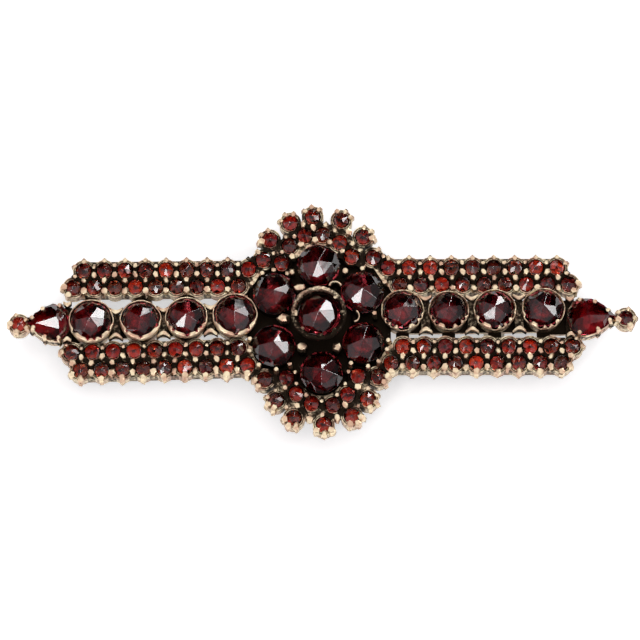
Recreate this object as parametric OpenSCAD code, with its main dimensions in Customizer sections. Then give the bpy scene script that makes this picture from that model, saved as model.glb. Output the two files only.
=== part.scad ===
// Garnet bar brooch: a long openwork bar of small and large garnets with a raised rosette in the middle.
// X runs along the bar, Y across it, Z out of the face. It lies on its back, on the hinge and the catch.

/* [Levels] */
// Height of the base plate's underside above the surface that the hinge and catch lie on
plate_z = 2.4; // [2.2:0.1:3.2]
// Thickness of the base plate
plate_t = 0.5; // [0.4:0.1:0.8]
// Height of the small cups above the base plate
cup_h = 1.1; // [1.0:0.05:1.3]
// Height of the large collets' seats above the rims of the small cups
seat_rise = 0.5; // [0.4:0.05:0.8]
// Height of a large collet's rim above its seat
rim_h = 0.7; // [0.6:0.05:0.9]

/* [Small stones] */
// Radius of a small stone at its girdle
small_r = 0.85; // [0.75:0.01:0.87]
// Radius of the cup around a small stone
cup_r = 1.18; // [1.12:0.01:1.22]
// Half the width of a square claw between the small stones, across its corners
claw_r = 0.27; // [0.2:0.01:0.3]
// Height of the claws above the rims of the small cups
claw_h = 0.6; // [0.4:0.05:0.8]

/* [Strips] */
// Number of stones in each row of a strip
row_count = 9; // [6:1:9]

/* [Large stones of the bar] */
// Radius of a middling large stone at its girdle
large_r = 2.0; // [1.9:0.01:2.02]
// Thickness of the rim of a large collet
rim_wall = 0.25; // [0.2:0.01:0.28]
// Number of claw tips around a large collet
collet_claws = 14; // [10:1:16]

/* [Rosette] */
// Radius of the rosette's outer stones at the girdle
ring_r = 2.3; // [2.1:0.01:2.32]
// Radius of the foot of the cups under the outer stones
ring_foot_r = 2.1; // [2.0:0.01:2.15]
// Radius of the middle stone at its girdle
centre_r = 2.28; // [2.1:0.01:2.3]
// Radius of the raised rim around the middle stone
centre_rim_r = 3.0; // [2.9:0.01:3.05]
// Height of the middle stone's collet above the rosette's plate
centre_rise = 3.9; // [3.5:0.05:4.4]

/* [Ends] */
// Length of the left pear-shaped end stone
left_pear_l = 4.15; // [3.8:0.05:4.3]
// Length of the right pear-shaped end stone
right_pear_l = 4.65; // [4.3:0.05:4.7]
// Width of a pear-shaped end stone
pear_w = 3.9; // [3.6:0.05:4.0]
// Radius of the cup at each tip
tip_cup_r = 1.15; // [1.05:0.01:1.2]
// Radius of the round stone at each tip
tip_r = 0.78; // [0.7:0.01:0.8]

/* [Pin] */
// Width of the hinge block, across the bar
hinge_w = 7; // [5:0.5:8]
// Radius of the pin stem
stem_r = 0.42; // [0.35:0.01:0.5]
// Width of the catch, across the bar
catch_w = 3; // [2.4:0.1:3.4]

/* [Hidden] */
$fn = 48;

gap = 0.05;
gilt = "#a5835f";
garnet = "#6e0f1c";

// Levels that follow from the ones above
plate_top = plate_z + plate_t;
cup_top = plate_top + cup_h;
claw_top = cup_top + claw_h;
seat_z = cup_top + seat_rise;
rim_top = seat_z + rim_h;

// The strips, one row each
// columns: side in x, side in y, x of first outer stone, x of first inner stone, pitch,
//          y of first inner stone, gap between the rows, splay in degrees
strips = [[-1,  1, 7.55, 8.65, 2.21, 4.03, 1.88,  0.0],
          [-1, -1, 7.70, 8.70, 2.23, 2.85, 1.98,  1.2],
          [ 1,  1, 7.50, 8.70, 2.27, 4.00, 1.90, -0.5],
          [ 1, -1, 7.70, 8.95, 2.27, 2.92, 1.82,  0.5]];

// The large stones of each arm
// columns: x, y, turn of the stone in degrees, its size as a share of a middling one
left_large = [[-9.0, 0.50, 33, 1.075], [-14.2, 0.30, 28, 1.0],
              [-19.1, 0.05, 20, 0.99], [-24.4, 0.00, 2, 1.07]];
right_large = [[8.95, 0.85, 5, 1.01], [13.9, 0.80, 14, 0.975],
               [18.85, 0.82, 24, 1.0], [24.05, 0.86, 10, 1.025]];

// The six outer stones of the rosette, from the top and on clockwise
// columns: direction from the middle in degrees, distance, turn of the stone, directions of its claws
ring = [[ 90.0, 5.95, 1,  []],
        [ 31.5, 5.50, 31, [25, 90, -62]],
        [-30.0, 5.45, 16, [5, -18, -53, -80, -121]],
        [-88.0, 5.98, 41, []],
        [-148.7, 5.68, 6, [163, -168, -127, -85, -51]],
        [149.5, 5.52, 39, [153, 119, 91, 58]]];
ring_claw_at = 2.85;
centre_turn = 8;

// The six broad claws between the middle stone and the ring
// columns: direction in degrees, distance
inner_claws = [[63, 3.85], [1, 3.85], [-60, 3.78], [-120, 3.72], [181, 3.75], [121, 3.9]];

// The arched lobes: stones around the top and the bottom stone of the ring
// columns: direction from straight out in degrees, distance
upper_crown = [[-80.5, 6.0], [-58.2, 6.1], [-30.4, 5.9], [-5.6, 5.8],
               [25.3, 5.9], [54.7, 5.95], [79.5, 6.0]];
upper_arc = [[-80.9, 4.0], [-50.9, 4.0], [-21.6, 3.9], [7.6, 3.75], [39.2, 3.65], [70.5, 3.8]];
lower_crown = [[-86, 6.1], [-60.5, 5.6], [-32.5, 5.6], [2, 5.5], [34.9, 5.6], [61.2, 5.6], [87.8, 6.05]];
lower_arc = [[-86, 3.75], [-53.5, 3.4], [-19.5, 3.35], [19.5, 3.55], [51.5, 3.55], [87.6, 3.9]];
lobe_disc_r = 5.05;

// The stones at the ends
// columns: x of a pear stone's blunt end, x of the tip stone, directions of the tip cup's claws in degrees
left_end_row = [-26.95, -32.15, [110, 30, 184, -107, -29]];
right_end_row = [26.9, 32.9, [73, 0, -65, -163, 142]];
end_y = 0.0;

// Places of the rosette's stones
function around(centre, direction, distance) =
    [centre[0] + distance * cos(direction), centre[1] + distance * sin(direction)];
function ring_place(i) = around([0, 0], ring[i][0], ring[i][1]);
lobe_top = ring_place(0);
lobe_bottom = ring_place(3);

// A stone or claw of a lobe: its direction is counted from straight out, which is up or down
function lobe_place(centre, up, at) =
    [centre[0] + at[1] * sin(at[0]), centre[1] + up * at[1] * cos(at[0])];
function lobe_places(centre, up, rows) = [for (at = rows) lobe_place(centre, up, at)];
function middle(rows, i) = (rows[i][0] + rows[i + 1][0]) / 2;

// Stones of a strip: outer row first, then inner row
function strip_place(s, outer, i) =
    [s[0] * ((outer ? s[2] : s[3]) + i * s[4]),
     s[1] * (s[5] + (outer ? s[6] : 0) + i * s[4] * tan(s[7]))];
function strip_places(s) =
    [for (outer = [true, false], i = [0:row_count - 1]) strip_place(s, outer, i)];

// Claws of a strip: between three stones, in the valleys of both edges, at the outer points and at the end
valley = 0.66;
outer_point = 1.2;
function strip_claws(s) =
    let (o = [for (i = [0:row_count - 1]) strip_place(s, true, i)],
         n = [for (i = [0:row_count - 1]) strip_place(s, false, i)],
         end = row_count - 1)
    concat([for (i = [0:end - 1]) (o[i] + o[i + 1] + n[i]) / 3],
           [for (i = [0:end - 1]) (n[i] + n[i + 1] + o[i + 1]) / 3],
           [for (i = [0:end - 1]) (o[i] + o[i + 1]) / 2 + [0, s[1] * valley]],
           [for (i = [0:end - 1]) (n[i] + n[i + 1]) / 2 - [0, s[1] * valley]],
           [for (i = [0:end]) o[i] + [0, s[1] * outer_point]],
           [o[end] + [s[0] * 1.08, s[1] * 0.48], (o[end] + n[end]) / 2 + [s[0] * 0.55, s[1] * 0.32],
            n[end] + [s[0] * 1.18, 0], n[end] + [s[0] * 0.63, -s[1] * 1.0]]);

// Claws of a lobe: on both sides of the inner arc, in the valleys between the crown stones, at their points
valley_claw_at = lobe_disc_r + 0.05;
crown_point = 1.2;
function crown_claws(centre, up, at, turns) =
    let (p = lobe_place(centre, up, at))
    [for (turn = turns) p + crown_point * [sin(at[0] + turn), up * cos(at[0] + turn)]];
arc_end_turn = 99;
function lobe_claws(centre, up, crown, arc, inside_at, outside_at) =
    concat([for (i = [0:4]) lobe_place(centre, up, [middle(arc, i), inside_at])],
           [for (side = [-1, 1]) lobe_place(centre, up, [side * arc_end_turn, inside_at])],
           [for (i = [0:4]) lobe_place(centre, up, [middle(arc, i), outside_at])],
           [for (i = [0:5]) lobe_place(centre, up, [middle(crown, i), valley_claw_at])],
           [for (i = [1:5]) each crown_claws(centre, up, crown[i], [-48, 0, 48])],
           crown_claws(centre, up, crown[0], [0, 48]), crown_claws(centre, up, crown[6], [-48, 0]));

ring_places = [for (i = [0:5]) ring_place(i)];
ring_claws = [for (i = [0:5], d = ring[i][3]) around(ring_place(i), d, ring_claw_at)];

small_places = concat([for (s = strips) each strip_places(s)],
                      lobe_places(lobe_top, 1, concat(upper_crown, upper_arc)),
                      lobe_places(lobe_bottom, -1, concat(lower_crown, lower_arc)));
small_claws = concat([for (s = strips) each strip_claws(s)],
                     lobe_claws(lobe_top, 1, upper_crown, upper_arc, 2.9, 4.5),
                     lobe_claws(lobe_bottom, -1, lower_crown, lower_arc, 2.62, 4.3));
tip_places = [for (e = [left_end_row, right_end_row]) [e[1], end_y]];
tip_claws = [for (e = [left_end_row, right_end_row], d = e[2])
                around([e[1], end_y], d, tip_r + gap + claw_r)];

// The whole is centred on the middle of its outline, which the outermost claws reach
x_reach = [for (p = tip_claws) p[0]];
y_reach = [for (p = small_claws) p[1]];
module centred() {
    translate([-(min(x_reach) + max(x_reach)) / 2, -(min(y_reach) + max(y_reach)) / 2, 0]) children();
}

module layer(low, high) {
    translate([0, 0, low]) linear_extrude(high - low) children();
}

module dots(places, r) {
    for (p = places) translate(p) circle(r);
}

// Outline of a pear stone, anticlockwise, its blunt end at the start and its point along side * X.
// The turn runs from 0 at the blunt end to 180 at the point.
pear_power = 0.45;
pear_fill = 1.18;
function pear_point(side, grow, turn) =
    let (length = side < 0 ? left_pear_l : right_pear_l,
         along = (1 - cos(turn)) / 2,
         across = -side * sin(turn) * pow(pow(cos(turn / 2), 2), pear_power) * pear_fill)
    [side * (along * (length + 2 * grow) - grow), across * (pear_w / 2 + grow)];

module pears(grow) {
    for (e = [[left_end_row, -1], [right_end_row, 1]])
        translate([e[0][0], end_y]) polygon([for (turn = [0:12:348]) pear_point(e[1], grow, turn)]);
}

// Claws on the flanks of the pear collets, by the same turn
pear_claw_turns = [58, 104, 140, 226, 262, 300];
pear_claws = [for (e = [[left_end_row, -1], [right_end_row, 1]], turn = pear_claw_turns)
                 [e[0][0], end_y] + pear_point(e[1], 2 * gap + claw_r, turn)];

ring_cup_r = ring_foot_r + 0.12;

// The rail and the cross bars under the large collets, and the webs between neighbouring collets
// and out to the blunt ends of the pears
rail_w = 0.9;
end_web = [-1.9, 1.9];
end_web_l = 0.6;
left_web = [-1.4, 1.0];
right_web = [-2.0, 1.2];
cross_w = 1.4;
cross_reach = 3.3;

// The plate under the rosette, a disc and a square, and the round clearing in the decks above it
core_r = 7.6;
core_w = 15.4;
core_low = -5.7;
core_high = 6.9;
clearing_r = core_r - 0.2;

// Where the straight middle of a strip's deck ends, outside the rows and past their first and last stones
deck_edge = 0.95;
deck_end = 0.7;
deck_start = 1.6;

// Points in anticlockwise order, for an outline that was worked out on one side and mirrored to the other
function turned(points, way) = way > 0 ? points : [for (i = [len(points) - 1:-1:0]) points[i]];

// Web between two large collets, from and to given heights in y about their middles
module web(a, b, reach) {
    translate([min(a[0], b[0]), (a[1] + b[1]) / 2 + reach[0]])
        square([abs(a[0] - b[0]), reach[1] - reach[0]]);
}

// Deck of a strip with a scalloped edge
module strip_deck(s) {
    end = row_count - 1;
    inner = [for (i = [0, end]) strip_place(s, false, i)];
    outer = [for (i = [0, end]) strip_place(s, true, i)];
    edge = [0, s[1] * deck_edge];
    layer(plate_z, cup_top) {
        polygon(turned([inner[0] - edge, inner[1] - edge, inner[1] + [s[0] * deck_end, 0],
                        outer[1] + [s[0] * deck_end, 0], outer[1] + edge, outer[0] + edge,
                        outer[0] - [s[0] * deck_start, 0], inner[0] - [s[0] * deck_start, 0]], s[0] * s[1]));
        dots(strip_places(s), cup_r);
    }
}

// Deck of a lobe: an arch around the ring's top or bottom stone, with its crown of cups standing out
module lobe_deck(centre, up, crown) {
    layer(plate_z, cup_top) {
        translate(centre) circle(lobe_disc_r);
        dots(lobe_places(centre, up, crown), cup_r);
    }
}

module pillars(places, r, low, high) {
    for (p = places) translate([p[0], p[1], low]) cylinder(h = high - low, r = r);
}

// Claws are cut from square wire
module claws(places, r, low, high) {
    pillars(places, r, low, high, $fn = 4);
}

// Sockets of the small stones, cut with as many sides as the stones have at their girdle
socket_sides = 12;
module sockets(places, r) {
    pillars(places, (r + gap) / cos(180 / socket_sides), plate_top, cup_top + 1, $fn = socket_sides);
}

// The soldered bar: the decks with their cups, the open base, the collets and all their claws
prong_r = 0.12;
prong_h = 0.4;
pear_wall = 0.25;
foot_grow = 0.08;
function stone_r(row) = large_r * row[3];
module bar_mount() {
    larges = concat(left_large, right_large);
    prongs = [for (row = larges, i = [0:collet_claws - 1])
                 around(row, (i + 0.5) * 360 / collet_claws, stone_r(row) + gap + rim_wall / 2)];
    color(gilt) centred() {
        difference() {
            union() {
                for (s = strips) strip_deck(s);
                lobe_deck(lobe_top, 1, upper_crown);
                lobe_deck(lobe_bottom, -1, lower_crown);
                pillars(tip_places, tip_cup_r, plate_z, cup_top);
            }
            sockets(small_places, small_r);
            sockets(tip_places, tip_r);
            pillars([[0, 0]], clearing_r, plate_top, cup_top + 1);
            pillars(ring_places, ring_cup_r + 2 * gap, plate_top, cup_top + 1);
        }
        layer(plate_z, plate_top) {
            circle(core_r);
            translate([-core_w / 2, core_low]) square([core_w, core_high - core_low]);
            for (p = larges)
                translate([p[0] - cross_w / 2, p[1] - cross_reach]) square([cross_w, 2 * cross_reach]);
            for (i = [0:2]) {
                web(left_large[i], left_large[i + 1], left_web);
                web(right_large[i], right_large[i + 1], right_web);
            }
            web(left_large[3], [left_end_row[0] - end_web_l, end_y], end_web);
            web(right_large[3], [right_end_row[0] + end_web_l, end_y], end_web);
            translate([left_end_row[1], end_y - rail_w / 2])
                square([right_end_row[1] - left_end_row[1], rail_w]);
        }
        difference() {
            layer(plate_z, seat_z) pears(pear_wall);
            layer(cup_top, seat_z + 1) pears(gap);
        }
        difference() {
            for (row = larges) {
                pillars([row], stone_r(row) + foot_grow, plate_z, seat_z);
                pillars([row], stone_r(row) + gap + rim_wall, seat_z, rim_top);
            }
            for (row = larges) pillars([row], stone_r(row) + gap, seat_z, rim_top + 1);
        }
        claws(prongs, prong_r, rim_top - prong_h / 2, rim_top + prong_h);
        claws(concat(small_claws, tip_claws), claw_r, plate_top, claw_top);
        claws(pear_claws, claw_r, plate_top, seat_z + claw_h);
        claws(ring_claws, claw_r, plate_z, rim_top);
    }
}

// The rosette's own plate, riveted on the bar, with six cups and the broad inner claws
rosette_z = plate_top + gap;
rosette_t = 0.4;
rosette_disc_r = 3.9;
ring_rim_top = seat_z + 0.15;
inner_claw_r = 0.42;
inner_claw_top = seat_z + 1.2;
module rosette_mount() {
    places = [for (c = inner_claws) around([0, 0], c[0], c[1])];
    color(gilt) centred() {
        layer(rosette_z, rosette_z + rosette_t) circle(rosette_disc_r);
        layer(rosette_z, seat_z) dots(ring_places, ring_foot_r);
        layer(seat_z, ring_rim_top) difference() {
            dots(ring_places, ring_cup_r);
            dots(ring_places, ring_foot_r - gap);
        }
        layer(rosette_z, inner_claw_top) dots(places, inner_claw_r);
    }
}

// The middle stone's raised collet on its post, with a hammered wall that stands clear of the stone
centre_base = rosette_z + rosette_t + gap;
centre_seat = centre_base + centre_rise - 0.95;
centre_rim_top = centre_base + centre_rise;
centre_post_r = 1.6;
centre_cup_h = 0.7;
centre_ledge = 0.35;
centre_wall = 0.5;
centre_claw_l = 0.45;
centre_claw_h = 0.12;

// Claws of the middle collet
// columns: direction in degrees, width
centre_claws = [[44, 0.4], [2, 0.35], [-50, 0.55], [-87, 0.6], [-136, 0.4], [180, 0.75]];
module centre_collet() {
    color(gilt) centred() {
        layer(centre_base, centre_seat - centre_cup_h) circle(centre_post_r);
        layer(centre_seat - centre_cup_h, centre_seat) circle(centre_rim_r - 0.25);
        layer(centre_seat, centre_seat + centre_ledge) difference() {
            circle(centre_rim_r);
            circle(centre_r + gap);
        }
        layer(centre_seat + centre_ledge, centre_rim_top) difference() {
            circle(centre_rim_r);
            circle(centre_rim_r - centre_wall);
        }
        layer(centre_seat + centre_ledge, centre_rim_top + centre_claw_h)
            for (c = centre_claws)
                rotate(c[0]) translate([centre_r + 2 * gap, -c[1] / 2]) square([centre_claw_l, c[1]]);
    }
}

// Hinge, stem and catch on the back, one plain piece.
// The hinge and the catch lie under the third stones of the two arms, counted from the middle.
pin_top = plate_z - gap;
stem_z = 1.0;
stem_point_l = 1.6;
stem_point_r = 0.12;
block_l = 2.2;
catch_y = 0.5;
catch_reach = 2.3;
hook_t = 0.4;
hinge_x = left_large[2][0];
pin_span = right_large[2][0] - hinge_x;
module pin() {
    color("#8c8478") centred() translate([hinge_x, 0, 0]) {
        translate([-block_l / 2, -hinge_w / 2, 0]) cube([block_l, hinge_w, 2 * stem_z]);
        translate([-block_l / 2, -hinge_w / 4, stem_z]) cube([block_l, hinge_w / 2, pin_top - stem_z]);
        translate([0, 0, stem_z]) rotate([0, 90, 0]) cylinder(h = pin_span + block_l / 2, r = stem_r);
        translate([pin_span + block_l / 2, 0, stem_z]) rotate([0, 90, 0])
            cylinder(h = stem_point_l, r1 = stem_r, r2 = stem_point_r);
        translate([pin_span - block_l / 2, catch_y - catch_w / 2, 0]) {
            cube([block_l, catch_w, stem_z - stem_r + gap]);
            cube([block_l, hook_t, pin_top]);
            translate([0, 0, pin_top - hook_t]) cube([block_l, catch_reach, hook_t]);
        }
    }
}

// A rose-cut stone over an outline that has two points for each star facet: a flat back, a girdle,
// a skirt of three facets for each star, and star facets that meet in a small flat at the top
function drawn(outline, middle, share, z) =
    [for (p = outline) [middle[0] + (p[0] - middle[0]) * share, middle[1] + (p[1] - middle[1]) * share, z]];
back_share = 0.8;
module rose(outline, middle, star_share, top_share, levels) {
    n = len(outline);
    stars = n / 2;
    corners = [for (i = [0:stars - 1]) outline[2 * i]];
    points = concat(drawn(outline, middle, back_share, levels[0]),
                    drawn(outline, middle, 1, levels[1]),
                    drawn(corners, middle, star_share, levels[2]),
                    drawn(corners, middle, top_share, levels[3]));
    sides = [for (i = [0:n - 1]) [i, n + i, n + (i + 1) % n, (i + 1) % n]];
    skirt = [for (i = [0:stars - 1])
                let (a = n + 2 * i, c = n + (2 * i + 2) % n, p = 2 * n + i, q = 2 * n + (i + 1) % stars)
                each [[a, p, a + 1], [a + 1, p, q], [a + 1, q, c]]];
    star = [for (i = [0:stars - 1])
               let (p = 2 * n + i, q = 2 * n + (i + 1) % stars) [p, p + stars, q + stars, q]];
    polyhedron(points, concat([[for (i = [0:n - 1]) i]], sides, skirt, star,
                              [[for (i = [stars - 1:-1:0]) 2 * n + stars + i]]));
}
function round_outline(r) = [for (turn = [0:30:330]) r * [cos(turn), sin(turn)]];

// The point of a hand-cut stone stands a little off its middle, each to another side
lean_share = 0.09;
function lean(r, turn) = lean_share * r * [cos(77 * turn), sin(77 * turn)];

// Small stones: back, girdle, star and top levels, and their places
small_levels = [plate_top + gap, cup_top, cup_top + 0.26, cup_top + 0.55];
small_star_share = 0.7;
small_top_share = 0.16;
small_turn = 67;
module small_stones(places, r) {
    color(garnet) centred()
        for (i = [0:len(places) - 1])
            translate(places[i]) rotate([0, 0, small_turn * i])
                rose(round_outline(r), lean(r, i), small_star_share, small_top_share, small_levels);
}

large_levels = [seat_z + gap, seat_z + 0.45, seat_z + 1.02, seat_z + 1.75];
large_star_share = 0.76;
large_top_share = 0.06;
module large_stone(at, r, turn) {
    color(garnet) centred() translate(at) rotate([0, 0, turn])
        rose(round_outline(r), lean(r, turn), large_star_share, large_top_share, large_levels);
}

centre_levels = [centre_seat + gap, centre_seat + 0.5, centre_seat + 1.07, centre_seat + 1.75];
module centre_garnet() {
    color(garnet) centred() rotate([0, 0, centre_turn])
        rose(round_outline(centre_r), [0, 0], large_star_share, large_top_share, centre_levels);
}

// A pear stone: its five stars reach to the corners of the blunt end, the widest places and the point
pear_levels = [cup_top + gap, seat_z, seat_z + 0.45, seat_z + 1.3];
pear_turns = [-28, 0, 28, 54, 80, 130, 180, 230, 280, 306];
pear_middle = 1.5;
pear_star_share = 0.8;
module pear_garnet(x, side) {
    color(garnet) centred() translate([x, end_y])
        rose([for (turn = pear_turns) pear_point(side, 0, turn)], [side * pear_middle, 0],
             pear_star_share, large_top_share, pear_levels);
}

bar_mount();
rosette_mount();
centre_collet();
pin();
centre_garnet();
for (i = [0:5])
    large_stone(ring_places[i], ring_r, ring[i][2]);
for (side = [["left", left_large], ["right", right_large]], i = [0:3])
    large_stone([side[1][i][0], side[1][i][1]], stone_r(side[1][i]), side[1][i][2]);
pear_garnet(left_end_row[0], -1);  // left_pear_garnet
pear_garnet(right_end_row[0], 1);  // right_pear_garnet
small_stones([tip_places[0]], tip_r);  // left_tip_garnet
small_stones([tip_places[1]], tip_r);  // right_tip_garnet
for (field = [["upper_left", 0], ["lower_left", 1], ["upper_right", 2], ["lower_right", 3]])
    small_stones(strip_places(strips[field[1]]), small_r);
small_stones(lobe_places(lobe_top, 1, concat(upper_crown, upper_arc)), small_r);  // upper_lobe_garnets
small_stones(lobe_places(lobe_bottom, -1, concat(lower_crown, lower_arc)), small_r);  // lower_lobe_garnets
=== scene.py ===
import math
import random

import bmesh
import bpy
from mathutils import Matrix, Vector


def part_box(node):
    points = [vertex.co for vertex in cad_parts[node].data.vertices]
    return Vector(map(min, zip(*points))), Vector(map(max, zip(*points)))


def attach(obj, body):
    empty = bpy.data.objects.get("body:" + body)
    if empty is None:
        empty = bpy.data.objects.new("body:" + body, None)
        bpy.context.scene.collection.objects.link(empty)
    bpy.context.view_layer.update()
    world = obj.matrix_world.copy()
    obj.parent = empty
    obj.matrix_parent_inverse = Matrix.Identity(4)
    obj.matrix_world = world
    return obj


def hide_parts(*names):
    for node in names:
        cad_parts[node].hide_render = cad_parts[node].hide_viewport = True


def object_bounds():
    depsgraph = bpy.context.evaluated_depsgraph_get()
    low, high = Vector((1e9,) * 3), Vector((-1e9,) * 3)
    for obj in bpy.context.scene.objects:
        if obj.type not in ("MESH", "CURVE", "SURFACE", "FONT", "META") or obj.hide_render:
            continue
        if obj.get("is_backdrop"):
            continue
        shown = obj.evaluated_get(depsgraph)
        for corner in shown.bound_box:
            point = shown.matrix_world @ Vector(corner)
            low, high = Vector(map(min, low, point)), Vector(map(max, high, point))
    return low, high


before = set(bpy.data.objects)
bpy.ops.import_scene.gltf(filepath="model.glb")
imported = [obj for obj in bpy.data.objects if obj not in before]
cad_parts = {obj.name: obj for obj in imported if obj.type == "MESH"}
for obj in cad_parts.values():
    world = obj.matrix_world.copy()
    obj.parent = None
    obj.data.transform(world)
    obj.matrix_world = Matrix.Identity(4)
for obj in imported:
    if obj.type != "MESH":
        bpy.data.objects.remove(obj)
cad_low, cad_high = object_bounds()
MM = 0.001

# The camera stands high over the lower edge of the brooch, on a long lens.
# The middle of the rosette lies just left of and above the middle of the picture.
elevation = math.radians(74)
roll = math.radians(-0.6)
camera_distance = 500 * MM
sensor_width = 36
picture_pixels = 640
pixel = 0.107 * MM
rosette_pixel = (319, 318.5)
rosette_height = 5 * MM

low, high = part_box("centre_garnet")
rosette_x, rosette_y = ((low + high) / 2).xy
towards_camera = Vector((0, -math.cos(elevation), math.sin(elevation)))
picture_up = Vector((0, math.sin(elevation), math.cos(elevation)))
aim = Vector((rosette_x, rosette_y, rosette_height))
aim += Vector((1, 0, 0)) * pixel * (picture_pixels / 2 - rosette_pixel[0])
aim -= picture_up * pixel * (picture_pixels / 2 - rosette_pixel[1])

camera = bpy.data.objects.new("camera", bpy.data.cameras.new("camera"))
bpy.context.scene.collection.objects.link(camera)
camera.data.sensor_width = sensor_width
camera.data.lens = sensor_width * camera_distance / (picture_pixels * pixel)
camera.data.clip_start = 10 * MM
camera.data.clip_end = 5000 * MM
camera.location = aim + towards_camera * camera_distance
camera.rotation_mode = "QUATERNION"
camera.rotation_quaternion = (
    (-towards_camera).to_track_quat("-Z", "Y") @ Matrix.Rotation(roll, 3, "Z").to_quaternion())
bpy.context.scene.camera = camera

# The floor is a plain white sheet on a light table, in a studio with a wide soft light overhead.
# Around it hang paler and darker panels, and small bright lamps where the stones' facets mirror them.
floor_size = 1200 * MM
bright_slope = 28
# columns: direction, strength, angles from it in degrees where the light begins to fade and ends
overhead = ((0, 0.27, 0.96), 1.15, 26, 38)
upper_room = ((0, 0, 1), 1, 50, 85)
# columns: azimuth of the facets that mirror the lamp, strength, the same two angles
lamps = [
    (-24, 7, 3, 9),
    (7, 5, 2, 7),
    (40, 11, 4, 9),
    (71, 10, 3, 8),
    (-89, 9, 3, 8),
    (-119, 11, 3, 8),
]


def feed(tree, node, inputs):
    """Gives a node's inputs their values, and links those whose value is another node's socket."""
    for name, value in inputs.items():
        if isinstance(value, bpy.types.NodeSocket):
            tree.links.new(value, node.inputs[name])
        else:
            node.inputs[name].default_value = value


def socket(tree, kind, output, inputs, **settings):
    """Adds a node to a tree, with its settings and inputs, and gives the socket of one output."""
    node = tree.nodes.new("ShaderNode" + kind)
    for name, value in settings.items():
        setattr(node, name, value)
    feed(tree, node, inputs)
    return node.outputs[output]


def new_material(name):
    """A new material, with its tree of nodes and its shader."""
    material = bpy.data.materials.new(name)
    material.use_nodes = True
    return material, material.node_tree, material.node_tree.nodes["Principled BSDF"]


def facet_normal(azimuth, slope):
    """Direction that a facet looks in, from its azimuth in the picture and its slope, in degrees."""
    turn, tilt = math.radians(azimuth), math.radians(slope)
    return Vector((math.sin(tilt) * math.cos(turn), math.sin(tilt) * math.sin(turn), math.cos(tilt)))


def mirrored(azimuth, slope):
    """Direction that the camera sees mirrored in such a facet."""
    normal = facet_normal(azimuth, slope)
    return 2 * normal.dot(towards_camera) * normal - towards_camera


bpy.ops.object.select_all(action="DESELECT")
bpy.ops.mesh.primitive_plane_add(size=floor_size)
floor = bpy.context.object
floor.name = "floor"
paper, tree, shader = new_material("white_paper")
feed(tree, shader, {"Base Color": (0.86, 0.86, 0.86, 1), "Roughness": 0.9, "Specular IOR Level": 0.1,
                    "Emission Color": (1, 1, 1, 1), "Emission Strength": 0.5})
floor.data.materials.append(paper)
floor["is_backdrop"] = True

world = bpy.data.worlds.new("studio")
bpy.context.scene.world = world
world.use_nodes = True
studio = world.node_tree
outlook = socket(studio, "TexCoord", "Generated", {})


def spotlit(direction, strength, fading, ending):
    """Socket of a light that is strong near a direction, and fades to 0 at an angle from it."""
    near = socket(studio, "VectorMath", "Value", {0: outlook, 1: direction}, operation="DOT_PRODUCT")
    return socket(studio, "MapRange", "Result", {
        "Value": near,
        "From Min": math.cos(math.radians(ending)),
        "From Max": math.cos(math.radians(fading)),
        "To Max": strength,
    }, interpolation_type="SMOOTHSTEP")


def brighter(light, other):
    """Socket of the brighter of two lights."""
    return socket(studio, "Math", "Value", {0: light, 1: other}, operation="MAXIMUM")


panels = socket(studio, "TexVoronoi", "Color", {"Vector": outlook, "Scale": 2.7})
panel_tone = socket(studio, "MapRange", "Result", {
    "Value": panels, "From Min": 0.15, "From Max": 0.85, "To Min": 0.03, "To Max": 1.0})
room = socket(studio, "Math", "Value", {0: panel_tone, 1: spotlit(*upper_room)}, operation="MULTIPLY")
lights = spotlit(*overhead)
for azimuth, *shape in lamps:
    lights = brighter(lights, spotlit(mirrored(azimuth, bright_slope), *shape))
room_tint = socket(studio, "Mix", "Result", {
    "Factor": lights, "A": (1.0, 0.90, 0.94, 1), "B": (1, 1, 1, 1)}, data_type="RGBA")
feed(studio, studio.nodes["Background"], {"Color": room_tint, "Strength": brighter(lights, room)})
bpy.context.scene.view_settings.view_transform = "Standard"

# The large stones are rose-cut garnets of deep red pyrope, each held in a setting of its own.
# They were cut by hand to a flat back, a girdle, a skirt and six stars that meet in a point,
# so the facets of a stone are a little off in slope and place.
large_sides = 24
large_girdle = 4.95 * MM
centre_girdle = 6.48 * MM
highest_stone = cad_high.z - 0.02 * MM
star_count = 6
skirt_count = 12
# slopes in degrees, and how far the facets are off: in azimuth and in slope
star_slope = 32
star_slip = (-4, 4)
star_tilt = (-0.8, 1.2)
skirt_slope = 48
skirt_slip = (-3, 3)
skirt_tilt = (-2, 3)
# edges are rounded up to this slope, and a star this near to a lamp's azimuth is turned to mirror it
rounded_slope = 36
mirror_reach = 25
# shares of a stone's radius: its back, the foot of its stars, its height over the girdle, its ridges
back_share = 0.8
star_share = 0.76
rose_height = 0.74
ridge = 0.008
# the seeded draws of what the hand leaves uneven
hand = random.Random(11)


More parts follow.
